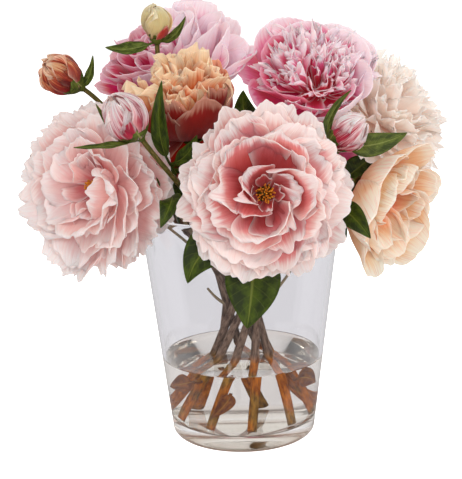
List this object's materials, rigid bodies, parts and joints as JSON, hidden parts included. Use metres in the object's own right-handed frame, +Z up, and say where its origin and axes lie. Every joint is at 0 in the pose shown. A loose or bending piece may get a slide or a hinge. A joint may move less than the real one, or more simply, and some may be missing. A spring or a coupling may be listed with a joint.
{
  "type": "peonies in a vase",
  "caption": "Clear tapered glass vase with water, holding open peony blooms in blush, rose, coral, cream and peach, with buds and leaves, spread wide above the rim.",
  "frame": {"origin": "centre of the vase's foot, on its underside, where it stands", "axes": "+Z up along the vase axis; -Y is the side the arrangement faces; +X is to the right seen from that side"},
  "size_m": [0.3352, 0.257, 0.337],
  "materials": {
    "vase_glass": "clear polished glass, a faint cool tint in the thick foot",
    "water": "clear still water with a faint warm tint",
    "stem": "grey-brown woody stems, orange-brown and softer under water",
    "leaf": "dark green waxy leaves, paler along the midrib and veins",
    "old_leaf": "soaked olive to orange-brown leaves",
    "sepal": "mid-green sepals and bracts, reddish at the edges",
    "stamen": "golden yellow anthers on pale filaments",
    "blush_petal": "thin blush-pink petals, salmon at the base, near white at the ruffled edge",
    "rose_petal": "lavender-pink petals, magenta inside near the base",
    "fringed_petal": "narrow fringed petals, crimson at the base, white-pink at the tips",
    "coral_petal": "peach-orange petals, deep red-orange at the base",
    "cream_petal": "cream ruffled petals with a hint of pink",
    "peach_petal": "pale peach petals with fine darker veins, orange inside",
    "cream_bud": "greenish-cream closed petals with a red patch",
    "red_bud": "orange-red crumpled petals",
    "pink_bud": "white-pink closed petals with red stripes"
  },
  "bodies": {
    "root": {"back_left_peony_inner_petals": "rose_petal", "back_left_peony_outer_petals": "rose_petal", "back_left_peony_sepals": "sepal", "back_left_peony_stem": "stem", "back_right_peony_inner_petals": "fringed_petal", "back_right_peony_outer_petals": "fringed_petal", "back_right_peony_sepals": "sepal", "back_right_peony_stem": "stem", "coral_leaf": "leaf", "coral_peony_inner_petals": "coral_petal", "coral_peony_outer_petals": "coral_petal", "coral_peony_sepals": "sepal", "coral_peony_stem": "stem", "cream_peony_inner_petals": "cream_petal", "cream_peony_outer_petals": "cream_petal", "cream_peony_sepals": "sepal", "cream_peony_stem": "stem", "edge_leaf": "leaf", "front_leaf": "leaf", "front_peony_inner_petals": "blush_petal", "front_peony_outer_petals": "blush_petal", "front_peony_sepals": "sepal", "front_peony_stamens": "stamen", "front_peony_stem": "stem", "left_bud_calyx": "sepal", "left_bud_petals": "red_bud", "left_leaf": "leaf", "left_peony_inner_petals": "blush_petal", "left_peony_outer_petals": "blush_petal", "left_peony_sepals": "sepal", "left_peony_stamens": "stamen", "left_peony_stem": "stem", "middle_bud_calyx": "sepal", "middle_bud_petals": "pink_bud", "middle_leaf": "leaf", "peach_peony_inner_petals": "peach_petal", "peach_peony_outer_petals": "peach_petal", "peach_peony_sepals": "sepal", "peach_peony_stamens": "stamen", "peach_peony_stem": "stem", "rear_left_leaf": "leaf", "rear_left_peony_inner_petals": "blush_petal", "rear_left_peony_outer_petals": "blush_petal", "rear_left_peony_sepals": "sepal", "rear_left_peony_stem": "stem", "rear_right_leaf": "leaf", "rear_right_peony_inner_petals": "rose_petal", "rear_right_peony_outer_petals": "rose_petal", "rear_right_peony_sepals": "sepal", "rear_right_peony_stem": "stem", "right_bud_calyx": "sepal", "right_bud_petals": "pink_bud", "right_leaf": "leaf", "sunken_left_leaf": "old_leaf", "sunken_middle_leaf": "old_leaf", "sunken_right_leaf": "old_leaf", "top_bud_calyx": "sepal", "top_bud_petals": "cream_bud", "vase": "vase_glass", "water": "water"}
  },
  "joints": []
}
